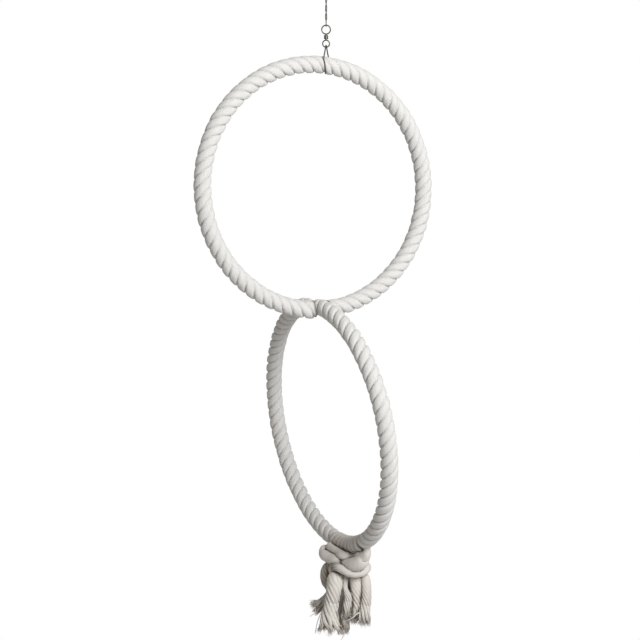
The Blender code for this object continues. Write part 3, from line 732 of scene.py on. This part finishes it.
def add_body(bundle, laid, wound, tails, painted_shadows, cotton_near):
    """The closed part of a strand: a twisted tube of yarns, rounded off inside its open ends."""
    along = lengths_along(laid.route)[:, None]
    wound = wound[:, None]
    around = np.linspace(0, 2 * math.pi, BODY_COLUMNS, endpoint=False)
    spin = around + STRAND_TWIST * along
    yarn = np.abs(np.sin(YARNS_IN_STRAND / 2 * spin))
    ply = np.abs(np.cos(PLIES_ROUND / 2 * spin))
    first_tail, last_tail = tails
    to_open = np.minimum(along - first_tail.length, along[-1] - last_tail.length - along)
    loose = np.clip(1 - to_open / LOOSENING_LENGTH, 0, 1)
    closing = np.clip(1 + to_open / BODY_OVERLAP, 0, 1) ** 0.5
    dents = 1 - np.abs(np.sin(DENTS_ROUND / 2 * around + DENT_SWAY * np.sin(DENT_SWAY_TURN * along)))

    squared = np.abs(np.cos(around)) ** WOUND_SQUARENESS + np.abs(np.sin(around)) ** WOUND_SQUARENESS
    boxed = 1 + wound * (squared ** (-1 / WOUND_SQUARENESS) - 1)
    plies = 1 + (LEAST_PLY_HEIGHT + LOOSE_PLY_HEIGHT * loose ** 2) * (ply - PLY_LEVEL)
    size = laid.radii[:, None] * closing * boxed * plies
    size = size + YARN_HEIGHT * (yarn - YARN_LEVEL) * closing - DENT_DEPTH * wound * dents ** 2
    width = size * (1 + WOUND_WIDENING * wound)
    binormals = np.cross(laid.tangents, laid.normals)
    points = (laid.route[:, None] + (size * np.cos(around))[..., None] * laid.normals[:, None]
              + (width * np.sin(around))[..., None] * binormals[:, None])

    # Painted shade: in grooves between yarns and plies, in cracks, over the wound part and between its turns,
    # where other cotton is close, and in the painted shadows
    opened = np.clip(CRACK_AMOUNT * slow_waves(along, CRACK_WAVES, *CRACK_LENGTHS), 0, 1)
    cracks = opened * np.clip(1 - CRACK_SHARPNESS * ply, 0, 1)
    painted_shade = (YARN_SHADE + LOOSE_YARN_SHADE * loose) * (1 - yarn) ** 2 + CRACK_SHADE * cracks * (1 - wound)
    painted_shade = painted_shade + loose * (LOOSE_SHADE + LOOSE_PLY_SHADE * (1 - ply) ** 2)
    sides = np.abs(np.sin(around)) ** WOUND_SIDE_SHARPNESS
    painted_shade = painted_shade + wound * (WOUND_SHADE + WOUND_SIDE_SHADE * sides + DENT_SHADE * dents ** 3)
    closed = at_angle(painted_occlusion_shade(laid, cotton_near), np.broadcast_to(around, spin.shape))
    painted_shade = painted_shade + closed * (1 - WOUND_OPENNESS * wound)
    # Painted shadow on the stretches listed for this strand
    for painted_shadow in painted_shadows:
        spot = painted_shadow.strength * bell(along / along[-1] - painted_shadow.place, painted_shadow.span)
        painted_shade = painted_shade + spot * (PAINTED_SHADOW_SHADE + PAINTED_SHADOW_GROOVE_SHADE * (1 - ply))

    grain = np.stack([
        np.broadcast_to(BODY_GRAIN_ALONG * along, spin.shape),
        BODY_GRAIN_ROUND * np.cos(spin),
        BODY_GRAIN_ROUND * np.sin(spin),
    ], axis=-1)
    kept = closing[:, 0] > LEAST_BODY
    bundle.add(points[kept], painted_shade[kept], grain[kept])


def tucked(directions, inward):
    """How far each side of a yarn is tucked in towards the middle of its bundle, from 0 to 1."""
    facing = np.sum(directions * inward[:, None], axis=-1)
    return np.clip(TUCKED_START + TUCKED_SLOPE * facing, 0, 1)


def add_tube(bundle, route, radii, columns, offset, inward=(), closed=0.0):
    """A round twisted yarn along a route, with painted shade in its grooves, on the sides that face inward
    and where it is closed in.
    """
    tangents, normals = carried_normals(route, YARN_NORMAL)
    around = np.linspace(0, 2 * math.pi, columns, endpoint=False)
    along = lengths_along(route)[:, None]
    spin = around - YARN_TWIST * along
    ridge = np.abs(np.cos(RIDGES_ROUND / 2 * spin))
    size = radii[:, None] * (1 + RIDGE_HEIGHT * (ridge - RIDGE_LEVEL))
    directions = square_to(tangents[:, None], normals[:, None], around)
    points = route[:, None] + size[..., None] * directions
    painted_shade = RIDGE_SHADE * (1 - ridge) ** 2 + closed
    for vectors in inward:
        painted_shade = painted_shade + TUCKED_SHADE * tucked(directions, vectors)
    grain = np.stack([
        np.broadcast_to(offset + YARN_GRAIN_ALONG * along, spin.shape),
        offset + YARN_GRAIN_ROUND * np.cos(spin),
        YARN_GRAIN_ROUND * np.sin(spin),
    ], axis=-1)
    bundle.add(points, painted_shade, grain)


def add_tail(bundle, laid, spin, spread, cotton_near):
    """The open end of a strand: its plies part and twist on a little, each a bundle of yarns."""
    closed = painted_occlusion_shade(laid, cotton_near)
    along = lengths_along(laid.route)
    share = along / along[-1]
    for number in range(PLIES_ROUND + INNER_PLIES):
        inner = number >= PLIES_ROUND
        ply_radius = laid.radii[0] * chance.uniform(*PLY_RADII)
        place = number / (INNER_PLIES if inner else PLIES_ROUND)
        angle = 2 * math.pi * place + spin - STRAND_TWIST * along * (1 - TAIL_UNTWIST * share)
        angle = angle + PLY_SWAY * share * slow_waves(along, PLY_SWAY_WAVES, *PLY_SWAY_LENGTHS)
        outward = square_to(laid.tangents, laid.normals, angle)
        reach = (INNER_REACH if inner else 1.0) * np.maximum(laid.radii - ply_radius, 0)
        growth = 1 + share ** 2 * spread * chance.uniform(*SPREAD_RANGE)
        path = laid.route + (reach * growth)[:, None] * outward
        strays = wander(along, PLY_WANDER_WAVES, PLY_WANDER_LENGTHS)
        path = path + PLY_WANDER * share[:, None] * strays
        kept = along <= along[-1] * chance.uniform(*PLY_ENDS)
        add_ply(bundle, path[kept], ply_radius, -outward[kept], at_angle(closed, angle)[kept])


def add_ply(bundle, path, radius, inward, closed):
    """Yarns twisted round each other, which loosen towards the tip and end in fine hairs."""
    tangents, normals = carried_normals(path, YARN_NORMAL)
    along = lengths_along(path)
    share = along / along[-1]
    for number in range(YARNS_IN_PLY + 1):
        middle = number == YARNS_IN_PLY
        yarn_radius = radius * chance.uniform(*YARN_RADII)
        angle = 2 * math.pi * number / YARNS_IN_PLY + PLY_TWIST * along * (1 - PLY_UNTWIST * share)
        outward = square_to(tangents, normals, angle)
        loose = 1 + PLY_LOOSENING * share ** 3 * chance.uniform(*LOOSENING_RANGE)
        reach = (0.0 if middle else radius - yarn_radius) * loose
        yarn = path + reach[:, None] * outward
        strays = wander(along, YARN_WANDER_WAVES, YARN_WANDER_LENGTHS)
        yarn = yarn + YARN_WANDER * share[:, None] ** 2 * strays
        kept = along <= along[-1] - chance.uniform(0, MOST_CUT_OFF)
        yarn = yarn[kept]
        tip = np.clip(np.linspace(1 - TIP_PARTS, 1, len(yarn)), 0, 1)
        size = yarn_radius * (1 - TIP_TAPER * tip)
        to_tip = along[kept][-1] - along[kept]
        # Painted shade where other cotton is close, a little over the whole tail, and more towards the tip
        shade = closed[kept] + TAIL_SHADE + TIP_SHADE * bell(to_tip, TIP_SHADE_REACH)
        middles = (-outward[kept], inward[kept])
        add_tube(bundle, yarn, size, YARN_COLUMNS, YARN_GRAIN_STEP * number, middles, shade[:, None])
        add_hairs(bundle, yarn, size[-1])


def add_hairs(bundle, path, radius):
    """Fine loose fibres at a yarn's tip."""
    heading = unit(path[-1] - path[-1 - HEADING_ROWS])
    share = np.linspace(0, 1, HAIR_POINTS)[:, None]
    radii = HAIR_RADIUS * np.linspace(*HAIR_TAPER, HAIR_POINTS)
    for _ in range(HAIRS):
        aside = unit(chance.normal(size=3))
        length = HAIR_ROOT + chance.uniform(*HAIR_LENGTHS)
        start = path[-1] - HAIR_ROOT * heading + HAIR_ASIDE * radius * aside
        bend = chance.uniform(0, MOST_HAIR_BEND) * length * share ** 2 * aside
        hair = start + length * share * heading + bend
        add_tube(bundle, hair, radii, HAIR_COLUMNS, chance.uniform(0, GRAIN_SPAN), closed=HAIR_SHADE)


def add_wisp(bundle, points):
    """A loose yarn."""
    route = smooth_route(MILLIMETRE * np.array(points), WISP_STEPS)
    radii = WISP_RADIUS * np.linspace(*HAIR_TAPER, len(route))
    add_tube(bundle, route, radii, YARN_COLUMNS, chance.uniform(0, GRAIN_SPAN))


def make_strand(number, strand, tails, wisps, painted_shadows, cotton_near):
    """One strand, with its closed part, its two tails and its loose yarns."""
    laid, wound = strand
    first_tail, last_tail = tails
    bundle = Bundle()
    add_body(bundle, laid, wound, tails, painted_shadows, cotton_near)

    along = lengths_along(laid.route)
    route, radii, normals, tangents = (values[along <= first_tail.length][::-1] for values in laid)
    first_end = Laid(route, radii, normals, -tangents)
    add_tail(bundle, first_end, STRAND_TWIST * first_tail.length, first_tail.spread, cotton_near)
    opens_at = along[-1] - last_tail.length
    last_end = Laid(*(values[along >= opens_at] for values in laid))
    add_tail(bundle, last_end, -STRAND_TWIST * opens_at, last_tail.spread, cotton_near)
    for wisp in wisps:
        add_wisp(bundle, wisp)

    piece = bundle.piece(f"tassel_strand_{number}_yarn")
    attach(piece, "tassel")
    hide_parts(f"tassel_strand_{number}")


def make_tassel():
    """The three strands: the first is wound on the hoop, and all of them are tied in the knot."""
    back_points, back_radii = drawn(ROUTE_1_BACK)
    front_points, front_radii = drawn(ROUTE_1_FRONT)
    winding = winding_points()
    points = np.vstack([back_points, winding, front_points])
    radii = np.concatenate([back_radii, np.full(len(winding), STRAND_RADIUS), front_radii])
    strands = [
        lay_strand(points, radii, hoop_normals),
        lay_strand(*drawn(ROUTE_2)),
        lay_strand(*drawn(ROUTE_3)),
    ]
    cotton_near = plain_tubes(strands)
    for index, (strand, tails, wisps, painted_shadows) in enumerate(zip(strands, TAILS, WISPS, PAINTED_SHADOWS)):
        make_strand(index + 1, strand, tails, wisps, painted_shadows, cotton_near)


# Metal

def finish_metal():
    """The metal pieces keep their shapes and get their finishes."""
    finishes = {
        "hanger_wire": DARK_WIRE, "swivel_upper_eye": BRIGHT_STEEL, "swivel_barrel": BRIGHT_STEEL,
        "swivel_lower_eye": BRIGHT_STEEL, "sling_wire": BRIGHT_STEEL, "upper_hoop": HOOP_STEEL,
        "lower_hoop": HOOP_STEEL, "upper_hoop_sleeve": HOOP_STEEL, "lower_hoop_sleeve": HOOP_STEEL,
    }
    for node, material in finishes.items():
        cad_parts[node].data.materials.clear()
        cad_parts[node].data.materials.append(material)


# Stage, light and camera

WORLD_COLOUR = (1.0, 0.955, 0.89, 1.0)
WORLD_STRENGTH = 0.29
WHITE = (1.0, 1.0, 1.0, 1.0)
TOY_MIDDLE = (0, 0, -0.38)
KEY_PLACE = (0.18, -1.70, 0.45)
KEY_SIZE = 1.0
KEY_POWER = 32
KEY_COLOUR = (1.0, 1.0, 0.995)
FLOOR_REACH = 6.0
FLOOR_Z = -1.6
FLOOR_COLOUR = (0.86, 0.86, 0.86)
CAMERA_PLACE = (-0.71552, -1.48374, -0.20580)
CAMERA_PITCH = math.radians(83.84)
CAMERA_TURN = math.radians(-25.5)
LENS = 78.75                # millimetres, as is the sensor
SENSOR_WIDTH = 36.0


def background_mix(nodes, links, shown, lit):
    """Uses one shader for what the camera and mirrors see, and another to light the object."""
    path = nodes.new("ShaderNodeLightPath")
    seen = path.outputs["Is Camera Ray"]
    for ray in ("Is Glossy Ray", "Is Transmission Ray"):
        either = nodes.new("ShaderNodeMath")
        either.operation = "MAXIMUM"
        links.new(seen, either.inputs[0])
        links.new(path.outputs[ray], either.inputs[1])
        seen = either.outputs[0]
    mix = nodes.new("ShaderNodeMixShader")
    links.new(seen, mix.inputs["Fac"])
    links.new(lit, mix.inputs[1])
    links.new(shown, mix.inputs[2])
    return mix.outputs["Shader"]


def make_world():
    """A warm, dim light from all sides, in front of a white background."""
    world = bpy.data.worlds.new("studio")
    world.use_nodes = True
    nodes, links = world.node_tree.nodes, world.node_tree.links
    lit = nodes["Background"]
    lit.inputs["Color"].default_value = WORLD_COLOUR
    lit.inputs["Strength"].default_value = WORLD_STRENGTH
    shown = nodes.new("ShaderNodeBackground")
    shown.inputs["Color"].default_value = WHITE
    shown.inputs["Strength"].default_value = 1.0
    surface = background_mix(nodes, links, shown.outputs["Background"], lit.outputs["Background"])
    links.new(surface, nodes["World Output"].inputs["Surface"])
    bpy.context.scene.world = world


def make_light():
    """One large soft light, in front of the toy."""
    lamp = bpy.data.lights.new("key", "AREA")
    lamp.shape = "DISK"
    lamp.size = KEY_SIZE
    lamp.energy = KEY_POWER
    lamp.color = KEY_COLOUR
    obj = bpy.data.objects.new("key", lamp)
    obj.location = KEY_PLACE
    direction = Vector(TOY_MIDDLE) - Vector(KEY_PLACE)
    obj.rotation_euler = direction.to_track_quat("-Z", "Y").to_euler()
    bpy.context.scene.collection.objects.link(obj)


def make_floor():
    """A pale floor, well below the hanging toy, that looks white."""
    mesh = bpy.data.meshes.new("floor")
    corners = [(FLOOR_REACH * x, FLOOR_REACH * y, FLOOR_Z) for x, y in ((-1, -1), (1, -1), (1, 1), (-1, 1))]
    mesh.from_pydata(corners, [], [(0, 1, 2, 3)])
    made, nodes, links, shader = new_material("floor", FLOOR_COLOUR, metallic=0.0, roughness=0.9)
    white = nodes.new("ShaderNodeEmission")
    white.inputs["Strength"].default_value = 1.0
    surface = background_mix(nodes, links, white.outputs["Emission"], shader.outputs["BSDF"])
    links.new(surface, nodes["Material Output"].inputs["Surface"])
    mesh.materials.append(made)
    obj = bpy.data.objects.new("floor", mesh)
    bpy.context.scene.collection.objects.link(obj)


def make_camera():
    """Looks at the toy from where the photo was taken."""
    data = bpy.data.cameras.new("camera")
    data.lens = LENS
    data.sensor_width = SENSOR_WIDTH
    obj = bpy.data.objects.new("camera", data)
    obj.location = CAMERA_PLACE
    obj.rotation_euler = (CAMERA_PITCH, 0, CAMERA_TURN)
    bpy.context.scene.collection.objects.link(obj)
    bpy.context.scene.camera = obj


make_upper_rope()
make_lower_rope()
make_tassel()
finish_metal()
make_world()
make_light()
make_floor()
make_camera()
bpy.context.scene.view_settings.view_transform = "Standard"
